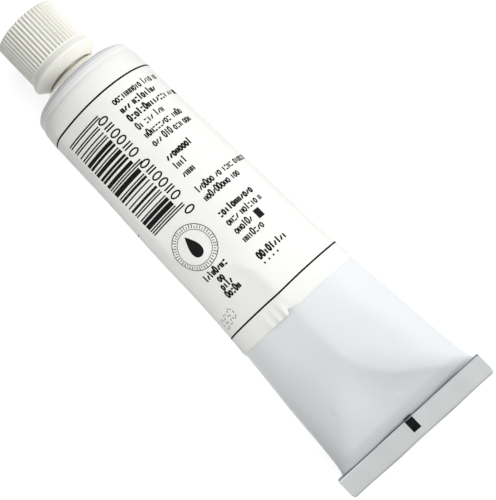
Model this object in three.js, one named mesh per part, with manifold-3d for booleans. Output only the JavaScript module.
// Artist's paint tube of the 40 ml class, full, lying on its side.
// Millimetres, +Z up, the cap towards +X, the flattened tail towards -X.
// The origin is under the middle of the tube, on the surface that the tube lies on.
import * as THREE from 'three';
import { mergeVertices } from 'three/addons/utils/BufferGeometryUtils.js';
import Module from 'manifold-3d';

// ---- lengths along the tube, from the cap's top to the folded end ----
const TOTAL_LENGTH = 120;
const CAP_HEIGHT = 13.4;
const CAP_STANDOFF = 1.0;
const SHOULDER_LENGTH = 4.3;
const FOLD_WIDTH = 4.9;
const CAP_TOP = TOTAL_LENGTH / 2;
const FOLD_END = -TOTAL_LENGTH / 2;
const NECK_BASE = CAP_TOP - CAP_HEIGHT - CAP_STANDOFF;
const SHOULDER_EDGE = NECK_BASE - SHOULDER_LENGTH;
const FOLD_FREE_EDGE = FOLD_END + FOLD_WIDTH;
const BODY_LENGTH = SHOULDER_EDGE - FOLD_FREE_EDGE;

// ---- body wall ----
const TUBE_RADIUS = 12.5;
const WALL = 0.3;
const BODY_FACETS = 34;

// ---- paper label, glued round the body ----
const LABEL_GAP = 0.06;
const LABEL_THICKNESS = 0.2;
const LABEL_START = 1.3;
const LABEL_END = 63.9;

// ---- the fold that closes the tail ----
const FLAT_HALF_WIDTH = 19.7;
const PRESSED_THICKNESS = 0.6;
const FOLDED_THICKNESS = 0.9;
const FOLD_SLOT = 0.2;
const FOLD_SLOT_END = 1.0;
const FOLD_OVERLAP = 0.35;
const FOLD_HEIGHT = 8.0;

// ---- neck, orifice and screw thread ----
const SHOULDER_TOP_RADIUS = 5.9;
const COLLAR_RADIUS = 5.4;
const COLLAR_HEIGHT = 0.5;
const NECK_RADIUS = 4.0;
const NECK_LENGTH = 11.1;
const ORIFICE_RADIUS = 2.3;
const THREAD_PITCH = 1.5;
const THREAD_DEPTH = 0.5;
const THREAD_ROOT_HALF = 0.36;
const THREAD_CREST_HALF = 0.12;
const THREAD_START = NECK_BASE + 2.0;
const NECK_THREAD_TURNS = 4.5;
const CAP_THREAD_TURNS = 5;
const THREAD_STEPS_PER_TURN = 20;
const THREAD_EMBED = 0.2;
const THREAD_FADE_TURNS = 0.25;
const THREAD_END_HEIGHT = 0.3;
const THREAD_CLEARANCE = 0.25;

// ---- screw cap and its liner ----
const RIB_COUNT = 52;
const RIB_DEPTH = 0.32;
const RIB_CREST_RADIUS = 7.68;
const RIBS_END = 9.9;
const FLANGE_RADIUS = 8.2;
const RIM_RADIUS = 5.7;
const CAP_ROOF = 2.0;
const CAP_BORE_RADIUS = NECK_RADIUS + THREAD_DEPTH + THREAD_CLEARANCE;
const LINER_RADIUS = 4.3;
const LINER_GAP = 0.2;

// ---- filling ----
const FILLING_GAP = 0.3;
const PASTE_END = 93.1;
const SEALANT_START = 93.5;
const CAVITY_END = 95.6;

// The body's sections at distances down from the shoulder edge. The circle is pressed into an ever
// wider oval whose rim keeps the circle's length, down to the line where both walls meet.
const SECTIONS = [
  { at: 0, halfWidth: TUBE_RADIUS, halfThickness: TUBE_RADIUS },
  { at: 14, halfWidth: 12.85, halfThickness: 12.1 },
  { at: 35, halfWidth: 13.65, halfThickness: 11.3 },
  { at: 55, halfWidth: 14.4, halfThickness: 10.4 },
  { at: 67, halfWidth: 15.45, halfThickness: 9.2 },
  { at: 78, halfWidth: 16.45, halfThickness: 7.8 },
  { at: 85.5, halfWidth: 17.0, halfThickness: 6.1 },
  { at: 93, halfWidth: 17.75, halfThickness: 4.0 },
  { at: 95, halfWidth: 18.15, halfThickness: 2.2 },
  { at: BODY_LENGTH, halfWidth: 18.6, halfThickness: PRESSED_THICKNESS / 2 },
];

// Where the rings of facets lie, for the outer wall and for what lies inside it.
const RING_STATIONS = [6, 14, 24, 35, 45, 55, 60, 67, 72.5, 78, 82, 85.5, 89, 91, 93];

// A flat triangle, slightly dented, starts at a point and widens towards the fold.
const TRIANGLE_START = 78;
const TRIANGLE_HALF_WIDTH = 14.6;
const DENT_DEPTH = 6.5;
const DENT_MARGIN = 3;

// The underside is straight this far from the shoulder, then the tail lifts to the fold's height.
const STRAIGHT_LENGTH = 60;
const LABEL_LIFT = LABEL_GAP + LABEL_THICKNESS;
const AXIS_HEIGHT = TUBE_RADIUS + LABEL_LIFT;

// Widens a polygon just enough to put its flats, not its corners, at the stated distance.
const FLAT_SCALE = 1 / Math.cos(Math.PI / BODY_FACETS);
const ON_AXIS = 1e-6;

const wasm = await Module();
wasm.setup();

// The value of one key between stations, on a smooth curve with the stations' averaged slopes.
function along(key, down) {
  const last = SECTIONS.length - 1;
  const slope = (i) => {
    const before = SECTIONS[Math.max(i - 1, 0)];
    const after = SECTIONS[Math.min(i + 1, last)];
    return (after[key] - before[key]) / (after.at - before.at);
  };
  const place = THREE.MathUtils.clamp(down, 0, SECTIONS[last].at);
  let i = 0;
  while (i < last - 1 && place > SECTIONS[i + 1].at) {
    i += 1;
  }
  const span = SECTIONS[i + 1].at - SECTIONS[i].at;
  const t = (place - SECTIONS[i].at) / span;
  const rise = (3 - 2 * t) * t * t;
  const bow = span * t * (1 - t) * (slope(i) * (1 - t) - slope(i + 1) * t);
  return THREE.MathUtils.lerp(SECTIONS[i][key], SECTIONS[i + 1][key], rise) + bow;
}

// Height of a section's middle above the shell's underside.
function sectionCentre(down) {
  if (down <= STRAIGHT_LENGTH) {
    return along('halfThickness', down);
  }
  const start = along('halfThickness', STRAIGHT_LENGTH);
  const t = (down - STRAIGHT_LENGTH) / (BODY_LENGTH - STRAIGHT_LENGTH);
  return THREE.MathUtils.lerp(start, FOLD_HEIGHT, t);
}

// Where a point of the round tube goes in the pressed section: x is across the tube, y is up.
// The angle is measured from straight up, and offset is how far outside the wall's face it lies.
function pressedPoint(down, angle, offset) {
  const halfWidth = along('halfWidth', down) + offset;
  const halfThickness = along('halfThickness', down) + offset;
  const progress = Math.max(0, (down - TRIANGLE_START) / (BODY_LENGTH - TRIANGLE_START));
  const flat = TRIANGLE_HALF_WIDTH * progress;
  const across = halfWidth * Math.sin(angle);
  const pastFlat = Math.max(0, Math.abs(across) - flat) / (halfWidth - flat);
  const full = halfThickness * FLAT_SCALE * Math.sqrt(Math.max(0, 1 - pastFlat * pastFlat));
  const inDent = 1 - Math.min(1, Math.abs(across) / (flat + DENT_MARGIN)) ** 2;
  const dent = DENT_DEPTH * progress * progress * (1 - progress) * inDent * inDent;
  return new THREE.Vector2(across, Math.sign(Math.cos(angle)) * Math.max(full - dent, 0));
}

// Presses a round solid, made about the X axis, into the shape of the filled tube lying down.
function pressed(geometry) {
  const position = geometry.attributes.position;
  for (let i = 0; i < position.count; i += 1) {
    const down = SHOULDER_EDGE - position.getX(i);
    const radius = Math.hypot(position.getY(i), position.getZ(i));
    const angle = Math.atan2(position.getY(i), position.getZ(i));
    const point = new THREE.Vector2();
    if (radius > ON_AXIS) {
      point.copy(pressedPoint(down, angle, radius - TUBE_RADIUS));
    }
    position.setY(i, point.x);
    position.setZ(i, point.y + sectionCentre(down) + LABEL_LIFT);
  }
  return geometry;
}

// A solid turned about the X axis. Each outline point is [place along X, radius].
function turned(outline, facets, firstAngle = Math.PI / facets) {
  const points = outline.map(([place, radius]) => new THREE.Vector2(radius, place));
  return new THREE.LatheGeometry(points, facets, firstAngle).rotateZ(-Math.PI / 2);
}

function solidOf(geometry) {
  const bare = geometry.clone();
  bare.deleteAttribute('normal');
  bare.deleteAttribute('uv');
  const merged = mergeVertices(bare);
  const corners = merged.index.array;
  const kept = [];
  for (let i = 0; i < corners.length; i += 3) {
    const [a, b, c] = corners.slice(i, i + 3);
    if (a !== b && b !== c && c !== a) {
      kept.push(a, b, c);
    }
  }
  const vertProperties = new Float32Array(merged.attributes.position.array);
  const triVerts = new Uint32Array(kept);
  return new wasm.Manifold(new wasm.Mesh({ numProp: 3, vertProperties, triVerts }));
}

function geometryOf(solid) {
  const mesh = solid.getMesh();
  const geometry = new THREE.BufferGeometry();
  geometry.setAttribute('position', new THREE.BufferAttribute(mesh.vertProperties, 3));
  geometry.setIndex(new THREE.BufferAttribute(mesh.triVerts, 1));
  geometry.computeVertexNormals();
  return geometry;
}

// A right-handed thread ridge about the tube's axis. Its profile is extruded along the turns that
// it makes, then wrapped round, and its height fades at both ends.
function threadRidge(start, turns, footRadius, crestRadius) {
  const profile = new THREE.Shape([
    new THREE.Vector2(-THREAD_ROOT_HALF, footRadius),
    new THREE.Vector2(THREAD_ROOT_HALF, footRadius),
    new THREE.Vector2(THREAD_CREST_HALF, crestRadius),
    new THREE.Vector2(-THREAD_CREST_HALF, crestRadius),
  ]);
  const steps = Math.round(turns * THREAD_STEPS_PER_TURN);
  const ridge = new THREE.ExtrudeGeometry(profile, { depth: turns, steps, bevelEnabled: false });
  const position = ridge.attributes.position;
  for (let i = 0; i < position.count; i += 1) {
    const turn = position.getZ(i);
    const toEnd = Math.min(turn, turns - turn) / THREAD_FADE_TURNS;
    const height = THREE.MathUtils.lerp(THREAD_END_HEIGHT, 1, Math.min(1, toEnd));
    const radius = footRadius + (position.getY(i) - footRadius) * height;
    const angle = 2 * Math.PI * turn;
    const place = start + position.getX(i) + THREAD_PITCH * turn;
    position.setXYZ(i, place, radius * Math.cos(angle), AXIS_HEIGHT + radius * Math.sin(angle));
  }
  return ridge;
}

// The strip across the tail: both walls pressed together, folded back over the upper side.
function foldGeometry() {
  const under = LABEL_LIFT + FOLD_HEIGHT - PRESSED_THICKNESS / 2;
  const over = under + PRESSED_THICKNESS;
  const top = over + FOLD_SLOT + FOLDED_THICKNESS;
  const bend = (top - under) / 2;
  const inside = FOLD_FREE_EDGE + FOLD_OVERLAP;
  const profile = new THREE.Shape();
  profile.moveTo(inside, over);
  profile.lineTo(FOLD_END + FOLD_SLOT_END, over);
  profile.lineTo(FOLD_END + FOLD_SLOT_END, over + FOLD_SLOT);
  profile.lineTo(FOLD_FREE_EDGE, over + FOLD_SLOT);
  profile.lineTo(FOLD_FREE_EDGE, top);
  profile.absarc(FOLD_END + bend, under + bend, bend, Math.PI / 2, 3 * Math.PI / 2, false);
  profile.lineTo(inside, under);
  const strip = new THREE.ExtrudeGeometry(profile, {
    depth: 2 * FLAT_HALF_WIDTH,
    bevelEnabled: false,
    curveSegments: 6,
  });
  return strip.rotateX(Math.PI / 2).translate(0, FLAT_HALF_WIDTH, 0);
}

// The aluminium wall as one closed outline: tail, body, shoulder and neck, then back inside.
function tubeShellGeometry() {
  const outerRings = [...RING_STATIONS, 94.1, 95, 95.8].reverse();
  const innerRings = [...RING_STATIONS, 94.4, CAVITY_END];
  const collarTop = NECK_BASE + COLLAR_HEIGHT;
  const neckEnd = NECK_BASE + NECK_LENGTH;
  const insideRadius = TUBE_RADIUS - WALL;
  const outline = [
    [FOLD_FREE_EDGE, 0],
    [FOLD_FREE_EDGE, TUBE_RADIUS],
    ...outerRings.map((down) => [SHOULDER_EDGE - down, TUBE_RADIUS]),
    [SHOULDER_EDGE, TUBE_RADIUS],
    [SHOULDER_EDGE + 0.6, TUBE_RADIUS - 0.15],
    [SHOULDER_EDGE + 1.0, TUBE_RADIUS - 0.5],
    [SHOULDER_EDGE + 1.5, TUBE_RADIUS - 1.4],
    [NECK_BASE, SHOULDER_TOP_RADIUS],
    [NECK_BASE, COLLAR_RADIUS],
    [collarTop, COLLAR_RADIUS],
    [collarTop, NECK_RADIUS],
    [neckEnd, NECK_RADIUS],
    [neckEnd, ORIFICE_RADIUS],
    [NECK_BASE - WALL, ORIFICE_RADIUS],
    [SHOULDER_EDGE + 0.7, TUBE_RADIUS - 1.1],
    [SHOULDER_EDGE, insideRadius],
    ...innerRings.map((down) => [SHOULDER_EDGE - down, insideRadius]),
    [SHOULDER_EDGE - CAVITY_END, 0],
  ];
  const wall = solidOf(pressed(turned(outline, BODY_FACETS)));
  const ridge = threadRidge(
    THREAD_START,
    NECK_THREAD_TURNS,
    NECK_RADIUS - THREAD_EMBED,
    NECK_RADIUS + THREAD_DEPTH,
  );
  return geometryOf(wall.add(solidOf(ridge)).add(solidOf(foldGeometry())));
}

// A sleeve of paper that follows the body's wall from the shoulder to just past its middle.
function wrapLabelGeometry() {
  const rings = [LABEL_START, ...RING_STATIONS.filter((down) => down < LABEL_END), LABEL_END];
  const inside = TUBE_RADIUS + LABEL_GAP;
  const outside = inside + LABEL_THICKNESS;
  const outline = [
    [SHOULDER_EDGE - LABEL_END, inside],
    ...rings.slice().reverse().map((down) => [SHOULDER_EDGE - down, outside]),
    ...rings.map((down) => [SHOULDER_EDGE - down, inside]),
  ];
  return pressed(turned(outline, BODY_FACETS));
}

// The paint fills the body, the shoulder and the orifice.
function paintPasteGeometry() {
  const radius = TUBE_RADIUS - WALL - FILLING_GAP;
  const rings = [...RING_STATIONS.filter((down) => down < PASTE_END - 1), PASTE_END].reverse();
  const throat = ORIFICE_RADIUS - FILLING_GAP;
  const neckEnd = NECK_BASE + NECK_LENGTH;
  const outline = [
    [SHOULDER_EDGE - PASTE_END, 0],
    ...rings.map((down) => [SHOULDER_EDGE - down, radius]),
    [SHOULDER_EDGE, radius],
    [NECK_BASE - WALL - 2 * FILLING_GAP, throat],
    [neckEnd - FILLING_GAP, throat],
    [neckEnd - FILLING_GAP, 0],
  ];
  return pressed(turned(outline, BODY_FACETS));
}

// A bead of sealing compound where the two walls meet inside the tail.
function tailSealantGeometry() {
  const radius = TUBE_RADIUS - WALL - FILLING_GAP;
  const outline = [
    [SHOULDER_EDGE - CAVITY_END + FILLING_GAP, 0],
    [SHOULDER_EDGE - CAVITY_END + FILLING_GAP, radius],
    [SHOULDER_EDGE - SEALANT_START - 0.8, radius],
    [SHOULDER_EDGE - SEALANT_START, radius],
    [SHOULDER_EDGE - SEALANT_START, 0],
  ];
  return pressed(turned(outline, BODY_FACETS));
}

// The cap's outside, with grip ribs on its straight part, above a smooth flange and a conical rim.
function screwCapGeometry() {
  const rim = CAP_TOP - CAP_HEIGHT;
  const ribFoot = CAP_TOP - RIBS_END;
  const ribHead = CAP_TOP - 0.8;
  const valley = RIB_CREST_RADIUS - RIB_DEPTH;
  const outline = [
    [rim, 0],
    [rim, RIM_RADIUS],
    [rim + 1.25, FLANGE_RADIUS - 0.2],
    [rim + 1.5, FLANGE_RADIUS],
    [rim + 2.2, FLANGE_RADIUS - 0.15],
    [ribFoot - 0.3, RIB_CREST_RADIUS - 0.1],
    [ribFoot, RIB_CREST_RADIUS],
    [ribHead, RIB_CREST_RADIUS],
    [CAP_TOP - 0.25, valley - 0.15],
    [CAP_TOP, valley - 0.6],
    [CAP_TOP, 0],
  ];
  const outside = turned(outline, 2 * RIB_COUNT, 0);
  const position = outside.attributes.position;
  for (let i = 0; i < position.count; i += 1) {
    const column = Math.floor(i / outline.length);
    const [place, radius] = outline[i % outline.length];
    if (column % 2 === 1 && place >= ribFoot && place <= ribHead) {
      const shrink = (radius - RIB_DEPTH) / radius;
      position.setY(i, position.getY(i) * shrink);
      position.setZ(i, position.getZ(i) * shrink);
    }
  }
  const bore = turned([
    [rim - 0.5, 0],
    [rim - 0.5, CAP_BORE_RADIUS + 0.6],
    [rim + 0.6, CAP_BORE_RADIUS],
    [CAP_TOP - CAP_ROOF, CAP_BORE_RADIUS],
    [CAP_TOP - CAP_ROOF, 0],
  ], THREAD_STEPS_PER_TURN, 0);
  const ridge = threadRidge(
    THREAD_START - THREAD_PITCH / 2,
    CAP_THREAD_TURNS,
    CAP_BORE_RADIUS + THREAD_EMBED,
    CAP_BORE_RADIUS - THREAD_DEPTH,
  );
  outside.translate(0, 0, AXIS_HEIGHT);
  bore.translate(0, 0, AXIS_HEIGHT);
  return geometryOf(solidOf(outside).subtract(solidOf(bore)).add(solidOf(ridge)));
}

// The sealing disc between the nozzle's rim and the cap's roof.
function capLinerGeometry() {
  const bottom = NECK_BASE + NECK_LENGTH + LINER_GAP;
  const top = CAP_TOP - CAP_ROOF - LINER_GAP;
  const outline = [
    [bottom, 0],
    [bottom, LINER_RADIUS],
    [top, LINER_RADIUS],
    [top, 0],
  ];
  return turned(outline, THREAD_STEPS_PER_TURN).translate(0, 0, AXIS_HEIGHT);
}

function mesh(name, geometry, color, roughness, metalness) {
  const material = new THREE.MeshStandardMaterial({ color, roughness, metalness });
  const made = new THREE.Mesh(geometry, material);
  made.name = name;
  return made;
}

const group = new THREE.Group();
group.add(
  mesh('tube_shell', tubeShellGeometry(), 0xd7dbde, 0.35, 0.2),
  mesh('wrap_label', wrapLabelGeometry(), 0xf1f1ea, 0.6, 0),
  mesh('screw_cap', screwCapGeometry(), 0xecebe0, 0.5, 0),
  mesh('cap_liner', capLinerGeometry(), 0xf4f4f0, 0.7, 0),
  mesh('tail_sealant', tailSealantGeometry(), 0xc9b88a, 0.6, 0),
  mesh('paint_paste', paintPasteGeometry(), 0xfafaf5, 0.4, 0),
);

export default group;
